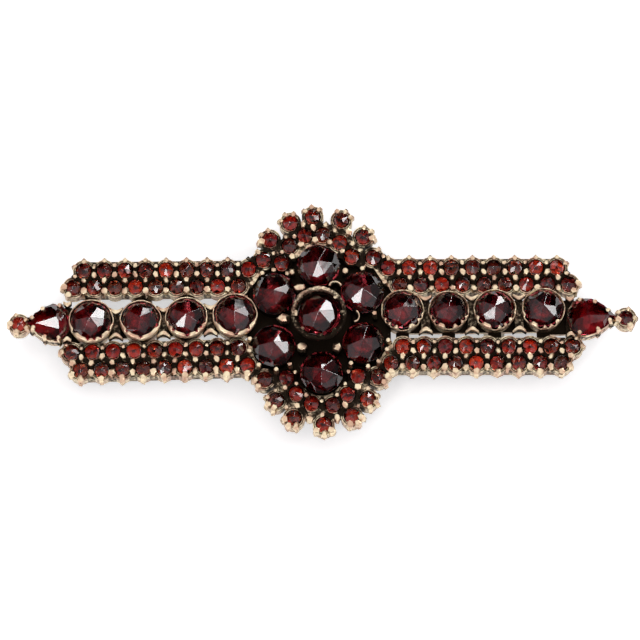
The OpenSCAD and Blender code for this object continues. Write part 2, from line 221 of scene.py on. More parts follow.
def garnet(name, pale, deep, absorbed, density, waviness):
    """Clear red stone: a drifting tint, painted shade at its rim, wavy polish, and a body that darkens
    with depth.
    """
    material, tree, shader = new_material(name)
    place = socket(tree, "TexCoord", "Object", {})
    drift = socket(tree, "TexNoise", "Fac", {"Vector": place, "Scale": 420, "Detail": 1})
    spread = socket(tree, "MapRange", "Result", {"Value": drift, "From Min": 0.32, "From Max": 0.68})
    tint = socket(tree, "Mix", "Result", {
        "Factor": spread, "A": (*deep, 1), "B": (*pale, 1)}, data_type="RGBA")
    rim = socket(tree, "Attribute", "Fac", {}, attribute_name="rim")
    # painted shade: the tint is darkened towards the rim of each stone
    rim_shaded_tint = socket(tree, "Mix", "Result", {
        "Factor": rim, "A": tint, "B": (0.10, 0.01, 0.02, 1)}, data_type="RGBA")
    polish = socket(tree, "TexNoise", "Fac", {"Vector": place, "Scale": 700, "Detail": 1})
    waves = socket(tree, "Bump", "Normal", {"Height": polish, "Distance": waviness})
    feed(tree, shader, {"Base Color": rim_shaded_tint, "IOR": 1.76, "Roughness": 0.03,
                        "Transmission Weight": 1.0, "Normal": waves})
    body = socket(tree, "VolumeAbsorption", "Volume", {"Color": (*absorbed, 1), "Density": density})
    feed(tree, tree.nodes["Material Output"], {"Volume": body})
    return material


def start(add, **sizes):
    """Adds a primitive with nothing else selected, and opens it for editing with all of it selected."""
    bpy.ops.object.select_all(action="DESELECT")
    add(**sizes)
    bpy.ops.object.transform_apply(location=True, rotation=True, scale=True)
    bpy.ops.object.mode_set(mode="EDIT")
    bpy.ops.mesh.select_all(action="SELECT")
    return bpy.context.object


def joined(name, parts, shapes=()):
    """Joins parts to one named piece, and removes the shapes that they were copied from."""
    bpy.ops.object.select_all(action="DESELECT")
    for part in parts:
        part.select_set(True)
    bpy.context.view_layer.objects.active = parts[0]
    bpy.ops.object.join()
    for shape in shapes:
        bpy.data.objects.remove(shape)
    piece = bpy.context.object
    piece.name = name
    return piece


def fitted(piece, material, slot, *nodes):
    """Gives a finished piece its material, hangs it on the root body, and hides the CAD nodes that it
    stands for.
    """
    piece.data.materials.clear()
    piece.data.materials.append(material)
    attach(piece, "root")
    if nodes:
        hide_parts(*nodes)


def cut(spot, normal):
    """Grinds the open stone flat beyond a point."""
    bpy.ops.mesh.select_all(action="SELECT")
    bpy.ops.mesh.bisect(plane_co=spot, plane_no=normal, use_fill=True, clear_outer=True)


def finish_stone(stone, girdle, radius, rim_dark):
    """Rounds the edges between the stars a little, and marks painted shade that darkens the stone near
    its rim.
    """
    bpy.ops.mesh.select_mode(type="EDGE")
    shape = bmesh.from_edit_mesh(stone.data)
    flattest = math.cos(math.radians(rounded_slope))
    for edge in shape.edges:
        edge.select_set(all(face.normal.z > flattest for face in edge.link_faces))
    bmesh.update_edit_mesh(stone.data)
    bpy.ops.mesh.bevel(offset=ridge * radius, segments=1, affect="EDGES")
    bpy.ops.object.mode_set(mode="OBJECT")
    rim = stone.data.attributes.new("rim", "FLOAT", "POINT")
    height = (1 - star_share) * radius * math.tan(math.radians(skirt_slope))
    rim.data.foreach_set("value", [
        rim_dark * min(1, max(0, 1 - (point.co.z - girdle) / height)) for point in stone.data.vertices
    ])
    return stone


def cut_rose(middle, radius, back, girdle, first, bright=(), sides=large_sides, uneven=1.0,
             rim_dark=0.5):
    """A rose-cut stone: a cone that widens from its flat back to its girdle, ground to facets above."""
    top = min(girdle + rose_height * radius, highest_stone)
    spread = (1 - back_share) * radius / (girdle - back)
    narrow = back_share * radius
    stone = start(bpy.ops.mesh.primitive_cone_add, vertices=sides, radius1=narrow,
                  radius2=narrow + spread * (top - back), depth=top - back,
                  location=(middle.x, middle.y, (top + back) / 2))
    for corner in range(star_count):
        azimuth = first + 360 / star_count * corner + hand.uniform(*star_slip)
        slope = star_slope + uneven * hand.uniform(*star_tilt)
        for mirror in bright:
            if abs((mirror - azimuth + 180) % 360 - 180) < mirror_reach:
                azimuth, slope = mirror, bright_slope
        cut((middle.x, middle.y, top), facet_normal(azimuth, slope))
    for corner in range(skirt_count):
        azimuth = first + 360 / skirt_count * (corner + 0.5) + hand.uniform(*skirt_slip)
        outwards = facet_normal(azimuth, 90) * radius
        edge = (middle.x + outwards.x, middle.y + outwards.y, girdle)
        cut(edge, facet_normal(azimuth, skirt_slope + hand.uniform(*skirt_tilt)))
    return finish_stone(stone, girdle, radius, rim_dark)


large_garnet = garnet("large_garnet", pale=(0.90, 0.16, 0.19), deep=(0.42, 0.06, 0.10),
                      absorbed=(0.52, 0.0, 0.02), density=270, waviness=0.02 * MM)
# columns: node, azimuth of a star in degrees, azimuths of the stars that mirror a lamp
roses = [
    ("centre_garnet", 38, (38, -22)),
    ("rosette_garnet_1", 31, (-89,)),
    ("rosette_garnet_2", 1, (-119,)),
    ("rosette_garnet_3", 46, ()),
    ("rosette_garnet_4", 11, (71,)),
    ("rosette_garnet_5", 36, (36, -24)),
    ("rosette_garnet_6", 9, (9,)),
    ("left_garnet_1", 3, (6,)),
    ("left_garnet_2", 58, (-119,)),
    ("left_garnet_3", 50, (47,)),
    ("left_garnet_4", 32, (-26,)),
    ("right_garnet_1", 35, ()),
    ("right_garnet_2", 44, ()),
    ("right_garnet_3", 54, (48,)),
    ("right_garnet_4", 40, (-20,)),
]
# columns: name of the piece, beginning of the names of the nodes that it replaces, girdle
rose_pieces = [
    ("centre_rose", "centre", centre_girdle),
    ("rosette_roses", "rosette", large_girdle),
    ("left_roses", "left", large_girdle),
    ("right_roses", "right", large_girdle),
]
for name, group, girdle in rose_pieces:
    stones, replaced = [], []
    for node, first, bright in roses:
        if node.startswith(group):
            lowest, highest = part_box(node)
            middle = (lowest + highest) / 2
            radius = (highest.y - lowest.y) / 2
            stones.append(cut_rose(middle, radius, lowest.z, girdle, first, bright))
            replaced.append(node)
    fitted(joined(name, stones), large_garnet, "garnet", *replaced)

# The pears at the two ends are cut from the same garnets, with a few large stars over one spot.
# They are nearly as wide as the walls that hold them, and reach out over the metal.
pear_girdle = 4.62 * MM
pear_top = 6.1 * MM
pear_taper = 0.45 * MM
pear_spare = 0.3 * MM
# how much painted shade darkens a pear towards its rim
pear_rim_dark = 0.35
# turns of the skirt's facets in degrees, as pear_spot takes them
pear_skirts = (-14, 14, 41, 67, 105, 155, 205, 255, 293, 319)
# the outline of both: its width in mm, and how full it is and how soon it narrows to the tip
pear_w = 3.9
pear_fill = 1.18
pear_power = 0.45
# columns: node, growth of its outline in mm, where its stars meet in mm from its blunt end and from
# its axis, azimuth and slope of each star and how far above that spot it passes in mm
pear_cuts = [
    ("left_pear_garnet", 0.17, 0.95, 0.3,
     [(-119, 28, 0), (132, 34, 0), (60, 32, 0), (-10, 35, 0), (-113, 46, 0.62)]),
    ("right_pear_garnet", 0.25, 2.0, -0.25, [(60, 33, 0), (-50, 33, 0), (140, 35, 0), (-120, 34, 0)]),
]


def pear_spot(node, grow, turn):
    """A point of a pear outline grown by some mm, for a turn that is half a circle at its tip."""
    lowest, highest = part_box(node)
    side, blunt = (-1, highest.x) if lowest.x < 0 else (1, lowest.x)
    along = (1 - math.cos(turn)) / 2 * (highest.x - lowest.x + 2 * grow * MM) - grow * MM
    across = math.sin(turn) * abs(math.cos(turn / 2)) ** (2 * pear_power) * pear_fill
    return Vector((blunt + side * along,
                   (lowest.y + highest.y) / 2 - side * across * (pear_w / 2 + grow) * MM))


def pear_shaped(piece, node):
    """Turns a round piece into a pear, and what its radius is beyond 1 mm into growth."""
    for point in piece.data.vertices:
        turn = math.atan2(point.co.y, point.co.x)
        point.co.x, point.co.y = pear_spot(node, point.co.xy.length / MM - 1, turn)


def cut_pear(node, grow, along, across, stars):
    """A pear-shaped stone: a blank that widens from its back, with stars over one spot and a skirt."""
    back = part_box(node)[0].z
    depth = pear_top + pear_spare - back
    spread = pear_taper / (pear_girdle - back)
    narrow = (1 + grow) * MM - pear_taper
    stone = start(bpy.ops.mesh.primitive_cone_add, vertices=large_sides, radius1=narrow,
                  radius2=narrow + spread * depth, depth=depth, location=(0, 0, back + depth / 2))
    bpy.ops.object.mode_set(mode="OBJECT")
    pear_shaped(stone, node)
    bpy.ops.object.mode_set(mode="EDIT")
    blunt, tip = pear_spot(node, 0, 0), pear_spot(node, 0, math.pi)
    peak = blunt + (tip - blunt).normalized() * along * MM + Vector((0, across * MM))
    for azimuth, slope, above in stars:
        cut((*peak, pear_top + above * MM), facet_normal(azimuth, slope))
    for turn in pear_skirts:
        edge, beyond = (pear_spot(node, grow, math.radians(turn + part)) for part in (-1, 1))
        way = beyond - edge
        cut((*edge, pear_girdle), facet_normal(math.degrees(math.atan2(-way.x, way.y)), skirt_slope))
    return finish_stone(stone, pear_girdle, pear_w / 2 * MM, pear_rim_dark)


for name, *shape in pear_cuts:
    stone = cut_pear(name, *shape)
    stone.name = name.replace("garnet", "rose")
    fitted(stone, large_garnet, "garnet", name)

# The small stones are cut the same way from paler and redder garnets, and lie in rows and in arcs.
# Their colour changes from stone to stone, between orange red and a dark mauve red.
small_girdle = 4.0 * MM
small_sides = 12
small_uneven = 3.5
# how much painted shade darkens a small stone towards its rim
small_rim_dark = 0.15
# the stones share some cuts, each turned on from the last by some degrees
small_cuts = 9
small_turn = 17
# corners of a CAD node count as one when they lie this near to each other
touch = 0.002 * MM
small_garnet = garnet("small_garnet", pale=(1.0, 0.32, 0.11), deep=(0.38, 0.06, 0.09),
                      absorbed=(0.84, 0.06, 0.02), density=240, waviness=0.006 * MM)
stone_nodes = [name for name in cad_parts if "garnet" in name]
small_nodes = [name for name in stone_nodes if name.endswith("garnets") or "tip" in name]


def patches(node, wanted=lambda corners: True):
    """Boxes around the separate patches that a CAD node's wanted faces make, as pairs of corners."""
    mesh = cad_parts[node].data
    home = {}
    for face in mesh.polygons:
        corners = [mesh.vertices[i].co for i in face.vertices]
        if wanted(corners):
            patch = {tuple(round(x / touch) for x in corner) for corner in corners}
            for spot in list(patch):
                if spot in home:
                    patch |= home[spot]
            for spot in patch:
                home[spot] = patch
    boxes = []
    for patch in {id(patch): sorted(patch) for patch in home.values()}.values():
        lowest = Vector(min(spot[k] for spot in patch) for k in range(3)) * touch
        highest = Vector(max(spot[k] for spot in patch) for k in range(3)) * touch
        boxes.append((lowest, highest))
    return sorted(boxes, key=lambda box: (round(box[0].x / touch), round(box[0].y / touch)))


def copy_of(shape, place):
    """A copy of a finished shape with its own mesh, put in its place by a matrix."""
    piece = bpy.data.objects.new(shape.name, shape.data.copy())
    piece.data.transform(place)
    bpy.context.scene.collection.objects.link(piece)
    return piece


small_places = [(lowest + highest) / 2 for name in small_nodes for lowest, highest in patches(name)]
lowest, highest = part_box("left_tip_garnet")
cuts = [
    cut_rose(Vector((0, 0)), (highest.y - lowest.y) / 2, lowest.z, small_girdle, small_turn * number,
             sides=small_sides, uneven=small_uneven, rim_dark=small_rim_dark)
    for number in range(small_cuts)
]
stones = []
for spot in small_places:
    turn = Matrix.Rotation(hand.uniform(0, math.tau), 4, "Z")
    stones.append(copy_of(hand.choice(cuts), Matrix.Translation((*spot.xy, 0)) @ turn))
fitted(joined("small_roses", stones, cuts), small_garnet, "garnet", *small_nodes)

# Behind each stone lies a leaf of coppery foil, cut round and pressed into the bottom of its setting.
# It throws the light back up through the stone and is tarnished in places; painted light brightens each
# leaf's lower left side.
foil_r = 0.62 * MM
foil_share = 0.8
foil_flat = 0.45
foil_drop = 0.02 * MM
# how bright a leaf is, how much painted light brightens one side of it, and that side's azimuth in
# degrees
small_glow = (-0.1, 0.8)
small_lit_slant = 0.6
pear_glow = 0.4
large_glow = 0.18
large_lit_slant = 0.45
painted_lit_side = (-175, -115)
leaf = start(bpy.ops.mesh.primitive_circle_add, vertices=16, radius=foil_r, fill_type="NGON")
bpy.ops.mesh.inset(thickness=foil_r * foil_flat)
bpy.ops.transform.translate(value=(0, 0, foil_drop / 2))
bpy.ops.object.mode_set(mode="OBJECT")

leaves = []
for name in stone_nodes:
    for lowest, highest in patches(name):
        spot = Vector((*((lowest + highest) / 2).xy, lowest.z - foil_drop))
        share = (highest.x - lowest.x) / 2 * foil_share / foil_r
        piece = copy_of(leaf, Matrix.Translation(spot) @ Matrix.Diagonal((share, share, 1, 1)))
        if name in small_nodes:
            brightness, lit_slant = hand.uniform(*small_glow), small_lit_slant
        else:
            brightness, lit_slant = pear_glow if "pear" in name else large_glow, large_lit_slant
        # painted light: each leaf grows brighter towards its lower left side
        side = facet_normal(hand.uniform(*painted_lit_side), 90) * lit_slant / (share * foil_r)
        tarnish_and_lit_side = piece.data.attributes.new("tarnish_and_lit_side", "FLOAT", "POINT")
        tarnish_and_lit_side.data.foreach_set("value", [
            brightness + side.dot(point.co - spot) for point in piece.data.vertices
        ])
        leaves.append(piece)
foils = joined("foils", leaves, [leaf])


def toned(tree, value, low, dark, high, bright):
    """Socket of a colour that goes from dark to bright while a value rises from low to high."""
    ramp = tree.nodes.new("ShaderNodeValToRGB")
    for element, position, colour in zip(ramp.color_ramp.elements, (low, high), (dark, bright)):
        element.position = position
        element.color = (*colour, 1)
    tree.links.new(value, ramp.inputs["Fac"])
    return ramp.outputs["Color"]


foil, tree, shader = new_material("copper_foil")
place = socket(tree, "TexCoord", "Object", {})
crumple = socket(tree, "TexNoise", "Fac", {"Vector": place, "Scale": 1300, "Detail": 2})
# the leaf's tone follows its tarnish and the painted light on its lower left side
tarnish_and_lit = socket(tree, "Attribute", "Fac", {}, attribute_name="tarnish_and_lit_side")
lit = socket(tree, "Math", "Value", {0: crumple, 1: tarnish_and_lit}, operation="ADD")
dents = socket(tree, "Bump", "Normal", {"Height": crumple, "Strength": 0.7, "Distance": 0.12 * MM})
feed(tree, shader, {"Base Color": toned(tree, lit, 0.55, (0.10, 0.02, 0.02), 1.0, (1.0, 0.60, 0.45)),
                    "Metallic": 1.0, "Roughness": 0.35, "Normal": dents})
fitted(foils, foil, "gilt_tombac")

# The base is the bar's soldered plate, decks and rails, dark between the stones with dirt and painted
# shade.
# It is the solid of the bar up to the rims of its small cups, closed where the claws were cut off.
cup_top = 4.0 * MM
cut_height = cup_top - 0.06 * MM
deck_z = 3.5 * MM
claw_foot_area = 0.6 * MM ** 2
rosette_r = 7.7 * MM
# how far from the second nearest small stone a spot counts as shut in, and as open
shut = 1.2 * MM
free = 1.75 * MM
# how worn the base is where it is open, and how bright its decks stay, dark with dirt and painted shade
open_wear = 0.55
deck_dirt_and_shade = 0.05


def old_gilt(name, bright, ruddy, dirt_and_shade):
    """Gilt tombac with age: dark dirt and painted shade where the attribute of wear and shade is low,
    pale and ruddy gilt where high.
    """
    material, tree, shader = new_material(name)
    place = socket(tree, "TexCoord", "Object", {})
    blotch = socket(tree, "TexNoise", "Fac", {"Vector": place, "Scale": 900, "Detail": 3})
    grain = socket(tree, "TexNoise", "Fac", {"Vector": place, "Scale": 3600, "Detail": 3})
    wear_and_shade = socket(tree, "Attribute", "Fac", {}, attribute_name="wear_and_shade")
    grain_wear_and_shade = socket(tree, "Math", "Value", {0: grain, 1: 0.9, 2: wear_and_shade}, operation="MULTIPLY_ADD")
    clean_and_lit = socket(tree, "MapRange", "Result", {
        "Value": grain_wear_and_shade, "From Min": 0.65, "From Max": 1.2}, interpolation_type="SMOOTHSTEP")
    tone = toned(tree, blotch, 0.38, ruddy, 0.58, bright)
    colour = socket(tree, "Mix", "Result", {
        "Factor": clean_and_lit, "A": (*dirt_and_shade, 1), "B": tone}, data_type="RGBA")
    gloss = socket(tree, "MapRange", "Result", {"Value": clean_and_lit, "To Min": 0.6, "To Max": 0.32})
    dents = socket(tree, "Bump", "Normal", {"Height": blotch, "Strength": 0.5, "Distance": 0.06 * MM})
    feed(tree, shader, {"Base Color": colour, "Metallic": 1.0, "Roughness": gloss, "Normal": dents})
    return material


def paint_wear_and_shade(piece, share):
    """Writes how bright the metal is at each point, from 0 for dirt and painted shade to 1 for bright,
    as an attribute.
    """
    wear_and_shade = piece.data.attributes.new("wear_and_shade", "FLOAT", "POINT")
    wear_and_shade.data.foreach_set("value", [min(1, max(0, share(point.co))) for point in piece.data.vertices])


def cut_copy(node, name, height):
    """A copy of a CAD node's solid with its seams merged, cut off at a height and closed there."""
    bpy.ops.object.select_all(action="DESELECT")
    piece = bpy.data.objects.new(name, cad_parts[node].data.copy())
    bpy.context.scene.collection.objects.link(piece)
    bpy.context.view_layer.objects.active = piece
    piece.select_set(True)
    bpy.ops.object.mode_set(mode="EDIT")
    bpy.ops.mesh.select_all(action="SELECT")
    bpy.ops.mesh.remove_doubles(threshold=touch)
    bpy.ops.mesh.select_all(action="SELECT")
    bpy.ops.mesh.bisect(plane_co=(0, 0, height), plane_no=(0, 0, 1), clear_outer=True)
    bpy.ops.mesh.select_all(action="SELECT")
    bpy.ops.mesh.fill_holes(sides=0)
    bpy.ops.object.mode_set(mode="OBJECT")
    return piece


def openness(spot):
    """How open a spot lies: 0 between the small stones and under the rosette, 1 outside of them."""
    if (spot.xy - Vector((rosette_x, rosette_y))).length < rosette_r:
        return 0
    near = sorted((place.xy - spot.xy).length for place in small_places)[:2]
    return min(1, max(0, (near[1] - shut) / (free - shut)))


def base_wear_and_shade(face):
    """How bright a face of the base is: worn on a wall or a claw's foot where it is open, elsewhere
    dark with dirt and painted shade.
    """
    wall = abs(face.normal.z) < 0.5
    foot = face.area < claw_foot_area and face.center.z > deck_z
    return open_wear * openness(face.center) if wall or foot else deck_dirt_and_shade


gilt = old_gilt("old_gilt", bright=(0.88, 0.73, 0.50), ruddy=(0.62, 0.39, 0.27),
                dirt_and_shade=(0.022, 0.015, 0.010))
base = cut_copy("bar_mount", "base", cut_height)
wear_and_shade = base.data.attributes.new("wear_and_shade", "FLOAT", "FACE")
wear_and_shade.data.foreach_set("value", [base_wear_and_shade(face) for face in base.data.polygons])
fitted(base, gilt, "gilt_tombac", "bar_mount")

# Each small stone sits in a little turned cup, and the cups are soldered side by side.
# Their outward sides are rubbed bright, and the sides between the stones are black with dirt and
# painted shade.
cup_sides = 20
cup_rim = 3.95 * MM
cup_rim_h = 0.2 * MM
# how bright a cup is where it is shut in, dark with dirt and painted shade, and how much more worn its
# outward wall is
cup_dark = 0.08
cup_bright = 0.5
# columns: radius and height in mm
cup_profile = [(1.04, 2.95), (1.15, 3.5), (1.18, 3.8), (1.12, 3.98), (1.02, 4.03), (0.94, 3.95),
               (0.92, 3.6)]


def turned(profile, sides):
    """A round shape with open ends: a circle extruded through pairs of radius and height in mm."""
    radius, height = profile[0]
    piece = start(bpy.ops.mesh.primitive_circle_add, vertices=sides, radius=radius * MM,
                  location=(0, 0, height * MM))
    for (was, under), (now, over) in zip(profile, profile[1:]):
        bpy.ops.mesh.extrude_region_move(TRANSFORM_OT_translate={"value": (0, 0, (over - under) * MM)})
        bpy.ops.transform.resize(value=(now / was, now / was, 1), center_override=(0, 0, 0))
    bpy.ops.mesh.select_all(action="SELECT")
    bpy.ops.mesh.normals_make_consistent(inside=False)
    return piece


def smooth(piece, degrees):
    """Closes the edit and shades a piece smooth, apart from edges sharper than some degrees."""
    if bpy.context.mode == "EDIT_MESH":
        bpy.ops.object.mode_set(mode="OBJECT")
    bpy.ops.object.select_all(action="DESELECT")
    piece.select_set(True)
    bpy.context.view_layer.objects.active = piece
    bpy.ops.object.shade_smooth_by_angle(angle=math.radians(degrees))


def cup_wear_and_shade(spot):
    """Bright on the outward walls of the cups, dark on their rims, and dark between them with dirt and
    painted shade.
    """
    wall = min(1, max(0, (cup_rim - spot.z) / cup_rim_h))
    return cup_dark + cup_bright * openness(spot) * wall


cup = turned(cup_profile, cup_sides)
smooth(cup, degrees=50)
cups = [copy_of(cup, Matrix.Translation((*place.xy, 0))) for place in small_places]
small_cups = joined("small_cups", cups, [cup])
paint_wear_and_shade(small_cups, cup_wear_and_shade)
fitted(small_cups, gilt, "gilt_tombac")

# Claws are soldered between the small cups, one in each gap, and their tips are pushed over the stones.
# Their tops are filed and rubbed to a pale gilt, painted shade darkens them lower down, and no two are
# alike.
claw_top = 4.6 * MM
claw_r = 0.36 * MM
claw_l = 1.2 * MM
widest_claw = 0.8 * MM
flat_within = 0.01 * MM
# a claw holds the stones within its grip, and is pushed over towards them
grip = 1.45 * MM
push = 0.16 * MM
# shares of a claw's radius: its foot, how far its tip is filed round, how uneven it is
claw_foot = 0.9
claw_filed = 0.36
claw_uneven = 0.2
# least and most of each claw's push, width, length, height in mm and turn
push_play = (0.7, 1.5)
width_play = (0.78, 1.0)
length_play = (0.9, 1.25)
height_play = (-0.05, 0.1)
turn_play = (-0.7, 0.7)
# columns: share of the usual width, share of the usual length, how much lower the tip is in mm
claw_kinds = {
    "between": (1.0, 1.1, 0),
    "far edge": (0.85, 0.75, 0.3),
    "near edge": (1.25, 1.15, 0.15),
}


def tops(node, height, widest):
    """Middles of a CAD node's flat tops at a height, no wider than given, such as its claws' tips."""
    boxes = patches(node, lambda corners: all(abs(spot.z - height) < flat_within for spot in corners))
    return [(lowest + highest) / 2 for lowest, highest in boxes if highest.x - lowest.x < widest]


def pick(piece, wanted):
    """Selects those points of an open piece that are wanted."""
    bpy.ops.mesh.select_mode(type="VERT")
    shell = bmesh.from_edit_mesh(piece.data)
    for point in shell.verts:
        point.select_set(wanted(point.co))
    shell.select_flush_mode()
    bmesh.update_edit_mesh(piece.data)


def nugget_shapes(count, radius, length, taper):
    """Claws of a few sides with filed tips, their tops at height 0, each a little different."""
    shapes = []
    for seed in range(count):
        shape = start(bpy.ops.mesh.primitive_cone_add, vertices=5 + seed % 3,
                      radius1=radius * claw_foot, radius2=radius * taper, depth=length,
                      location=(0, 0, -length / 2))
        pick(shape, lambda spot: spot.z > -flat_within)
        bpy.ops.mesh.bevel(offset=radius * claw_filed, segments=2, affect="EDGES")
        bpy.ops.mesh.select_all(action="SELECT")
        bpy.ops.transform.vertex_random(offset=radius * claw_uneven, seed=seed)
        smooth(shape, degrees=28)
        shapes.append(shape)
    return shapes


def bent(spot, height, pull, length, stretch, turn):
    """Place of a claw whose foot stays where it is soldered while its top is pushed over by pull."""
    lean = Matrix.Identity(4)
    for axis in range(2):
        lean[axis][2] = pull[axis] / length
        lean[axis][3] = pull[axis]
    return (Matrix.Translation((spot.x, spot.y, height)) @ lean @ Matrix.Rotation(turn, 4, "Z")
            @ Matrix.Diagonal((*stretch, 1, 1)))


def rubbed_and_shaded(spot, share, height, rise):
    """How bright a spot is, rubbed on top and painted shade lower down: a share at a height, and 1 more
    for each rise above it.
    """
    return share + (spot.z - height) / rise


nuggets = nugget_shapes(count=7, radius=claw_r, length=claw_l, taper=0.92)
claws = []
for spot in tops("bar_mount", claw_top, widest_claw):
    near = [(place - spot).xy for place in small_places if (place - spot).xy.length < grip]
    pull = sum((way.normalized() for way in near), Vector((0, 0)))
    kind = "between" if len(near) > 2 else "far edge" if pull.y < 0 else "near edge"
    wide, long, lower = claw_kinds[kind]
    pull *= push * hand.uniform(*push_play) * (1 + lower) / max(1, pull.length)
    stretch = (wide * hand.uniform(*width_play), long * hand.uniform(*length_play))
    height = claw_top + (hand.uniform(*height_play) - lower) * MM
    place = bent(spot, height, pull, claw_l, stretch, hand.uniform(*turn_play))
    claws.append(copy_of(hand.choice(nuggets), place))
small_claws = joined("small_claws", claws, nuggets)
for point in small_claws.data.vertices:
    point.co.x = min(cad_high.x, max(cad_low.x, point.co.x))
    point.co.y = min(cad_high.y, max(cad_low.y, point.co.y))
# the claws' tops are rubbed bright, and painted shade darkens them lower down
paint_wear_and_shade(small_claws, lambda spot: max(
    cup_bright * openness(spot), rubbed_and_shaded(spot, share=0.62, height=4.1 * MM, rise=MM)))
fitted(small_claws, gilt, "gilt_tombac")

# Each large stone of the bar sits in a tall collet whose rim is sawn into tabs.
# They are bent in over the stone at the near side, broad on the left arm and narrow on the right one.
# At the far side the rim is thin, wavy and pushed down.
tab_count = 12
tab_columns = 6
sheet_t = 0.17 * MM
sheet_rough = 0.035 * MM
# how far the tabs slip out of their even places, as shares of a place: around the rim, and by stone
tab_slip = 0.35
tab_start = 0.3
# in mm: heights of the notches' foot and of the rim, how wavy the rim is, how far out it is pushed
notch_height = 4.85
collet_top = 5.28
rim_wave = 0.12
rim_out = 0.3
# waves around the rim, and shares: how far out it is pressed, how much a spot at the side counts as
# far, and how soon that falls towards the near side
rim_waves = 7
rim_pressed = 0.85
side_far = 0.9
far_fall = 1.6
# columns: radius beyond the stone's and height in mm
collet_profile = [(0.04, 2.9), (0.06, 3.5), (0.16, 4.2), (0.28, 4.6), (0.34, notch_height),
                  (0.28, 5.1), (-0.16, collet_top)]
# columns: how much of its place a tab fills, depth of the notches beside it in mm
tab_kinds = {
    "left": (0.85, 0.26),
    "right": (0.5, 0.34),
}
large_places = {name: sum(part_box(name), Vector()) / 2 for name in stone_nodes if name[-1].isdigit()}


def thicken(piece, thickness):
    """Gives an open shape a wall of sheet metal."""
    wall = piece.modifiers.new("wall", "SOLIDIFY")
    wall.thickness = thickness
    bpy.ops.object.modifier_apply(modifier="wall")


def round_off(piece, levels=1):
    """Rounds a finished shape all over."""
    rounding = piece.modifiers.new("rounding", "SUBSURF")
    rounding.levels = rounding.render_levels = levels
    bpy.ops.object.modifier_apply(modifier="rounding")


def tabbed_collet(radius, seed, tab_share, notch_depth):
    """A collet of sheet metal, with its rim sawn into uneven tabs that lean in."""
    profile = [(radius + grow, height) for grow, height in collet_profile]
    piece = turned(profile, tab_count * tab_columns)
    shape = bmesh.from_edit_mesh(piece.data)
    for point in shape.verts:
        if point.co.z > notch_height * MM:
            turn = math.atan2(point.co.y, point.co.x)
            slip = tab_start * seed + tab_slip * math.sin(3 * turn + seed)
            column = turn / math.tau * tab_count + slip
            notched = abs(column - round(column)) * 2 > tab_share
            rise = (point.co.z / MM - notch_height) / (collet_top - notch_height)
            far = min(1, max(0, side_far + far_fall * math.sin(turn)))
            wave = rim_wave * math.sin(rim_waves * turn + 2 * seed)
            down = 1 if notched else far
            outwards = point.co.xy.normalized() * (radius + rim_out * (1 + wave)) * MM
            point.co.z -= (down * rise * notch_depth + wave * far) * MM
            point.co.xy = point.co.xy.lerp(outwards, down * rim_pressed)
    bmesh.update_edit_mesh(piece.data)
    bpy.ops.mesh.select_all(action="SELECT")
    bpy.ops.transform.vertex_random(offset=sheet_rough, seed=seed)
    bpy.ops.object.mode_set(mode="OBJECT")
    thicken(piece, sheet_t)
    round_off(piece)
    smooth(piece, degrees=60)
    return piece


for arm, tabs in tab_kinds.items():
    collets = []
    for number in range(1, 5):
        node = f"{arm}_garnet_{number}"
        lowest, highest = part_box(node)
        collet = tabbed_collet((highest.y - lowest.y) / 2 / MM, number, *tabs)
        collet.data.transform(Matrix.Translation((*large_places[node].xy, 0)))
        collets.append(collet)
    piece = joined(f"{arm}_collets", collets)
    # the tabs are rubbed bright, and painted shade darkens the collets lower down
    paint_wear_and_shade(piece, lambda spot: rubbed_and_shaded(spot, share=0.32, height=4.55 * MM, rise=0.9 * MM))
    fitted(piece, gilt, "gilt_tombac")

# Between two neighbouring collets stands a web of solder, dark with age, and a lower one by each pear.
# At both of its ends the solder stands up as a bright fork that leans on the two settings.
web_cuts = 3
fork_cuts = 4
# sizes of the webs and of their forks in mm
web_foot = 2.9
web_w = 0.9
web_rough = 0.09
fork_top = 5.0
fork_h = 1.0
fork_l = 1.5
fork_w = 0.42
fork_rough = 0.07
# how a fork's two arms go for each mm that they reach out: along the web, down, and thinner
fork_spread = 0.75
fork_droop = 0.25
fork_taper = 0.6
# a fork's thickness where its arms part, as a share of its width
fork_thick = 1.15
# columns: lower and upper end in mm from the stones' middles, height of the top in mm, share of a fork
inner_webs = {
    "left": (-1.4, 0.85, 4.3, 1),
    "right": (-1.9, 1.15, 4.3, 1),
}
end_web = (-1.8, 1.8, 3.9, 0.6)
web_rows = []
for arm, inner_web in inner_webs.items():
    row = [large_places[f"{arm}_garnet_{number}"] for number in range(1, 5)]
    for place, following in zip(row, row[1:]):
        web_rows.append(((place + following) / 2, *inner_web))
    web_rows.append((pear_spot(f"{arm}_pear_garnet", 0, 0).to_3d(), *end_web))

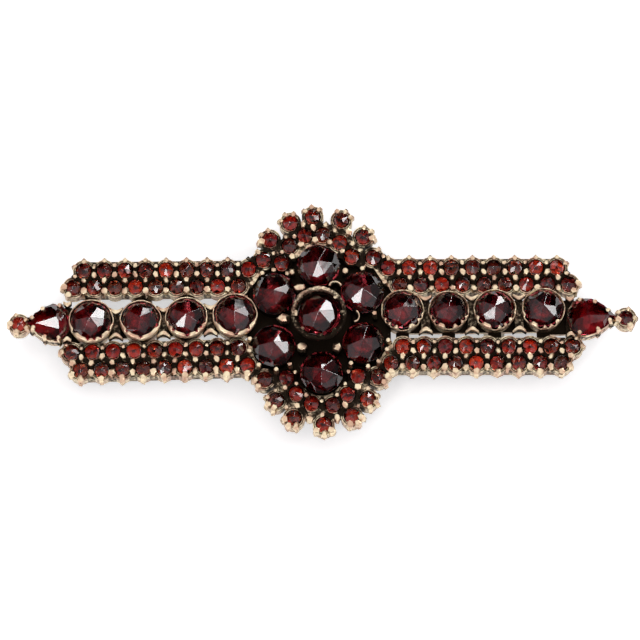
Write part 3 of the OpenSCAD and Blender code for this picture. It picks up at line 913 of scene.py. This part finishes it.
web_parts, forks = [], []
for number, (middle, below, above, top, share) in enumerate(web_rows):
    web = start(bpy.ops.mesh.primitive_cube_add, size=1,
                location=(middle.x, middle.y + (above + below) / 2 * MM, (web_foot + top) / 2 * MM),
                scale=(web_w * MM, (above - below) * MM, (top - web_foot) * MM))
    bpy.ops.mesh.subdivide(number_cuts=web_cuts)
    bpy.ops.transform.vertex_random(offset=web_rough * MM, seed=number)
    smooth(web, degrees=40)
    web_parts.append(web)
    for end, way in ((above, 1), (below, -1)):
        fork = start(bpy.ops.mesh.primitive_cube_add, size=1,
                     location=(0, 0, (fork_top - fork_h / 2) * MM),
                     scale=(fork_l * share * MM, fork_w * MM, fork_h * MM))
        bpy.ops.mesh.subdivide(number_cuts=fork_cuts)
        bpy.ops.transform.vertex_random(offset=fork_rough * MM, seed=number + 10 * (way > 0))
        bpy.ops.object.mode_set(mode="OBJECT")
        for point in fork.data.vertices:
            reach = abs(point.co.x) / MM
            point.co.y = point.co.y * (fork_thick - fork_taper * reach) + way * fork_spread * reach * MM
            point.co += Vector((middle.x, middle.y + end * MM, -fork_droop * reach * MM))
        round_off(fork)
        smooth(fork, degrees=40)
        forks.append(fork)
piece = joined("webs", web_parts)
paint_wear_and_shade(piece, lambda spot: 0.12 + 0.15 * (spot.z > 4.0 * MM))
fitted(piece, gilt, "gilt_tombac")
piece = joined("forks", forks)
# the forks' tops are rubbed bright, and painted shade darkens them lower down
paint_wear_and_shade(piece, lambda spot: rubbed_and_shaded(spot, share=0.42, height=4.65 * MM, rise=0.8 * MM))
fitted(piece, gilt, "gilt_tombac")

# The rosette's own plate carries six round cups, and lies on the bar.
# It is black with age, and the large stones hide most of it.
ring_rim = 4.65 * MM
rim_left = 0.1 * MM
rosette_base = cut_copy("rosette_mount", "rosette_base", ring_rim - rim_left)
paint_wear_and_shade(rosette_base, lambda spot: 0.02)
fitted(rosette_base, gilt, "gilt_tombac", "rosette_mount")

# The broad claws of the rosette stand between the middle stone and the six around it.
# Two are strips of sheet curled to a half tube, and four are folded down to a thick nugget.
curl_top = 5.7 * MM
widest_curl = 1.0 * MM
curl_t = 0.2 * MM
curl_rough = 0.05 * MM
curl_sides = 18
# radius in mm, and where the strip's open side begins, as a share of it
curl_r = 0.52
curl_opening = 0.25
# columns: share of the radius, height above the top edge in mm
curl_profile = [(1, -2.2), (1, -0.5), (1.08, -0.12), (1.2, 0)]
# columns: direction from the middle in degrees, kind, turn in degrees, shares of the width and length
curl_rows = [
    (63, "curled", 90, 1.25, 1.0),
    (1, "curled", -15, 0.9, 1.2),
    (122, "folded", 25, 1.5, 0.95),
    (180, "folded", -60, 1.7, 1.1),
    (241, "folded", 20, 1.3, 1.1),
    (302, "folded", 50, 1.1, 1.2),
]


def curled_claw(seed):
    """A strip of sheet curled round, with its open side towards -X and its top edge flared."""
    piece = turned([(curl_r * share, height) for share, height in curl_profile], curl_sides)
    pick(piece, lambda spot: spot.x < -curl_r * MM * curl_opening)
    bpy.ops.mesh.delete(type="VERT")
    bpy.ops.mesh.select_all(action="SELECT")
    bpy.ops.transform.vertex_random(offset=curl_rough, seed=seed)
    bpy.ops.object.mode_set(mode="OBJECT")
    thicken(piece, curl_t)
    round_off(piece)
    smooth(piece, degrees=60)
    return piece


folded = nugget_shapes(count=4, radius=0.55 * MM, length=1.6 * MM, taper=0.8)
curls = []
for seed, spot in enumerate(tops("rosette_mount", curl_top, widest_curl)):
    direction = math.degrees(math.atan2(spot.y - rosette_y, spot.x - rosette_x)) % 360
    row = min(curl_rows, key=lambda row: abs((row[0] - direction + 180) % 360 - 180))
    kind, turn, *stretch = row[1:]
    place = (bent(spot, curl_top, Vector((0, 0)), MM, stretch, 0)
             @ Matrix.Rotation(math.radians(turn), 4, "Z"))
    if kind == "curled":
        curl = curled_claw(seed)
        curl.data.transform(place)
        curls.append(curl)
    else:
        curls.append(copy_of(folded[seed % len(folded)], place))
curled_claws = joined("curled_claws", curls, folded)
# the claws' tops are rubbed bright, and painted shade darkens them lower down
paint_wear_and_shade(curled_claws, lambda spot: rubbed_and_shaded(spot, share=0.85, height=curl_top, rise=0.7 * MM))
fitted(curled_claws, gilt, "gilt_tombac")

# The outer claws of the rosette hold the six stones from outside.
# They are taller than the claws of the small stones.
ring_claw_top = 5.2 * MM
ring_claw_l = 1.8 * MM
ring_push = 0.2 * MM
ring_turn_play = (-0.8, 0.8)
tall = nugget_shapes(count=4, radius=0.34 * MM, length=ring_claw_l, taper=0.8)
claws = []
for spot in tops("bar_mount", ring_claw_top, widest_claw):
    near = min(large_places.values(), key=lambda place: (place.xy - spot.xy).length)
    pull = (near - spot).xy.normalized() * ring_push
    place = bent(spot, ring_claw_top, pull, ring_claw_l, (1, 1), hand.uniform(*ring_turn_play))
    claws.append(copy_of(hand.choice(tall), place))
ring_claws = joined("ring_claws", claws, tall)
# the claws' tops are rubbed bright, and painted shade darkens them lower down
paint_wear_and_shade(ring_claws, lambda spot: rubbed_and_shaded(spot, share=0.62, height=4.7 * MM, rise=MM))
fitted(ring_claws, gilt, "gilt_tombac")

# The middle stone stands above the ring in a hammered collet on a post.
# Its rim is a broad band with six claws, rubbed bright above, brightened on its far side by painted
# light and darkened at its near, lower side by painted shade.
centre_sides = 72
hammered_z = 6.9 * MM
hammering = 0.09 * MM
# the claws on the rim: their middle's height and distance from the stone's, their length and height
centre_claw_z = 7.2 * MM
centre_claw_x = 2.5 * MM
centre_claw_l = 0.45 * MM
centre_claw_h = 0.22 * MM
# the band's middle height, the radius that counts as within, how bright it is at that height, and
# how much more above it, with painted shade below, on the far side as painted light, and within
band_z = 7.0 * MM
band_inner = 2.6 * MM
band_wear = 0.1
above_wear_and_shade = 0.28
far_side_light = 0.24
inner_wear = 0.14
# columns: radius and height in mm
centre_profile = [(1.6, 3.42), (1.6, 5.6), (2.7, 5.75), (2.82, 6.1), (2.94, 6.7), (2.98, 7.06),
                  (2.93, 7.22), (2.8, 7.28), (2.64, 7.24), (2.54, 7.12), (2.48, 6.8), (2.42, 6.72),
                  (2.40, 6.37)]
centre_ring = turned(centre_profile, centre_sides)
pick(centre_ring, lambda spot: spot.z > hammered_z)
bpy.ops.transform.vertex_random(offset=hammering, seed=3)
bpy.ops.mesh.select_all(action="SELECT")
bpy.ops.mesh.fill_holes(sides=0)
smooth(centre_ring, degrees=45)
centre_ring.data.transform(Matrix.Translation((rosette_x, rosette_y, 0)))

# columns: direction in degrees, width in mm
centre_claws = [(44, 0.4), (2, 0.35), (-50, 0.5), (-87, 0.55), (-136, 0.4), (180, 0.7)]
parts = [centre_ring]
for direction, width in centre_claws:
    claw = start(bpy.ops.mesh.primitive_cube_add, size=1, location=(centre_claw_x, 0, centre_claw_z),
                 scale=(centre_claw_l, width * MM, centre_claw_h))
    bpy.ops.mesh.subdivide(number_cuts=1)
    bpy.ops.transform.vertex_random(offset=0.05 * MM, seed=int(direction) % 50)
    bpy.ops.object.mode_set(mode="OBJECT")
    round_off(claw, levels=2)
    smooth(claw, degrees=60)
    claw.data.transform(Matrix.Translation((rosette_x, rosette_y, 0))
                        @ Matrix.Rotation(math.radians(direction), 4, "Z"))
    parts.append(claw)
centre_setting = joined("centre_setting", parts)


def centre_wear_and_light(spot):
    """Bright on the claws' tops, painted light on the band's far side, painted shade down the wall and
    on the near side.
    """
    above = (spot.z - band_z) / (0.35 * MM)
    far = (spot.y - rosette_y - 0.3 * (spot.x - rosette_x)) / (3 * MM)
    inner = (spot.xy - Vector((rosette_x, rosette_y))).length < band_inner
    return band_wear + above_wear_and_shade * above + far_side_light * far + inner_wear * inner


paint_wear_and_shade(centre_setting, centre_wear_and_light)
fitted(centre_setting, gilt, "gilt_tombac", "centre_collet")

# The pear stones at the ends sit in walls of sheet bent to their outline, each held by six claws.
# Painted light makes the walls brighter on the near side, painted shade darkens them lower down, and
# they wave in and out like a row of scallops.
scallops = 15
scallop_z = 3.5 * MM
scallop_out = 0.04
scallop_down = 0.12 * MM
wall_rim = 4.2 * MM
# how far out a point is on the wall's outer side, before it is made a pear
wall_outer = 1.2 * MM
near_side_light = 0.3
# columns: growth of the outline and height in mm
pear_profile = [(0.22, 2.42), (0.24, 3.2), (0.3, 4.1), (0.34, 4.4), (0.28, 4.54), (0.16, 4.45),
                (0.06, 4.1)]
walls = []
for node in ("left_pear_garnet", "right_pear_garnet"):
    wall = turned([(1 + grow, height) for grow, height in pear_profile], 4 * scallops)
    bpy.ops.object.mode_set(mode="OBJECT")
    for point in wall.data.vertices:
        wave = math.sin(scallops * math.atan2(point.co.y, point.co.x))
        if point.co.z > scallop_z:
            point.co *= 1 + scallop_out * wave * (point.co.xy.length > wall_outer)
            point.co.z -= scallop_down * (1 + wave) / 2 * (point.co.z > wall_rim)
    pear_shaped(wall, node)
    smooth(wall, degrees=60)
    walls.append(wall)
pear_walls = joined("pear_walls", walls)
# painted light brightens the near side, and painted shade darkens the walls lower down
paint_wear_and_shade(pear_walls, lambda spot: (
    rubbed_and_shaded(spot, share=0.34, height=4.1 * MM, rise=1.5 * MM) + near_side_light * (spot.y < rosette_y)))
fitted(pear_walls, gilt, "gilt_tombac")

pear_claw_top = 5.1 * MM
pear_claw_l = 1.5 * MM
# how far the claws are pushed over, and how much of the way along the pear they lean
pear_push = 0.28 * MM
pear_lean = 0.3
pear_nuggets = nugget_shapes(count=4, radius=0.33 * MM, length=pear_claw_l, taper=0.75)
claws = []
for spot in tops("bar_mount", pear_claw_top, widest_claw):
    node = "left_pear_garnet" if spot.x < 0 else "right_pear_garnet"
    pull = (sum(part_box(node), Vector()) / 2 - spot).xy
    pull.x *= pear_lean
    pull = pull.normalized() * pear_push
    place = bent(spot, pear_claw_top, pull, pear_claw_l, (1, 1), hand.uniform(*ring_turn_play))
    claws.append(copy_of(hand.choice(pear_nuggets), place))
pear_claws = joined("pear_claws", claws, pear_nuggets)
# the claws' tops are rubbed bright, and painted shade darkens them lower down
paint_wear_and_shade(pear_claws, lambda spot: rubbed_and_shaded(spot, share=0.6, height=4.6 * MM, rise=MM))
fitted(pear_claws, gilt, "gilt_tombac")

# The pin on the back is a stem of drawn wire between a hinge block and a catch, and stays closed.
# Its plain metal has a grey-brown skin, in one piece with the block and the catch.
pin_metal, tree, shader = new_material("pin_metal")
place = socket(tree, "TexCoord", "Object", {})
skin = socket(tree, "TexNoise", "Fac", {"Vector": place, "Scale": 700, "Detail": 4})
rough = socket(tree, "MapRange", "Result", {"Value": skin, "To Min": 0.3, "To Max": 0.55})
feed(tree, shader, {"Base Color": toned(tree, skin, 0, (0.20, 0.16, 0.11), 1, (0.50, 0.44, 0.34)),
                    "Metallic": 1.0, "Roughness": rough})
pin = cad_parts["pin"]
pin.data.materials.clear()
pin.data.materials.append(pin_metal)

low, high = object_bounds()
